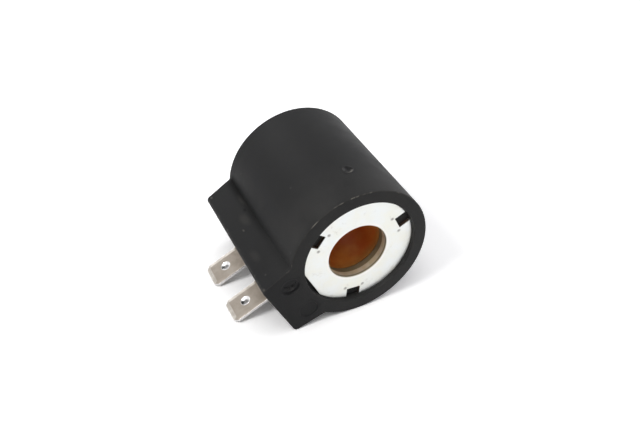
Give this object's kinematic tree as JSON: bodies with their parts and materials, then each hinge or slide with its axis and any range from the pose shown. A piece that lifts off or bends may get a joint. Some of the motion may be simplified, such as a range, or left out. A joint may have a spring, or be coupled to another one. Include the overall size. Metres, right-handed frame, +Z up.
{
  "type": "solenoid valve coil",
  "caption": "Encapsulated solenoid valve coil: black moulded barrel with a side terminal block, zinc-plated flux plates, a through bore and push-on blade terminals.",
  "frame": {"origin": "on the bore axis, at the middle of the housing's length", "axes": "-Y along the bore out of the front face, +Z up with the coil lying on its barrel and on the lower edge of the terminal block, blades towards -X and below the level"},
  "size_m": [0.0402, 0.0328, 0.0304],
  "materials": {
    "black_nylon": "satin moulded, glass-filled",
    "zinc_plate": "bright zinc plating, faintly mottled",
    "rolled_steel": "plain rolled strip",
    "amber_nylon": "unfilled, slightly translucent",
    "enamelled_copper": "enamelled",
    "polyester_tape": "thin film",
    "tinned_brass": "matt tin plating",
    "lead_tubing": "woven glass tubing",
    "solder": "bright, flowed"
  },
  "bodies": {
    "root": {"moulded_housing": "black_nylon", "front_flux_plate": "zinc_plate", "rear_flux_plate": "zinc_plate", "flux_shell": "rolled_steel", "bobbin": "amber_nylon", "winding": "enamelled_copper", "winding_tape": "polyester_tape", "terminal_carrier": "amber_nylon", "front_terminal": "tinned_brass", "rear_terminal": "tinned_brass", "start_lead": "enamelled_copper", "finish_lead": "enamelled_copper", "start_lead_tubing": "lead_tubing", "finish_lead_tubing": "lead_tubing", "front_solder_joint": "solder", "rear_solder_joint": "solder"}
  },
  "joints": []
}
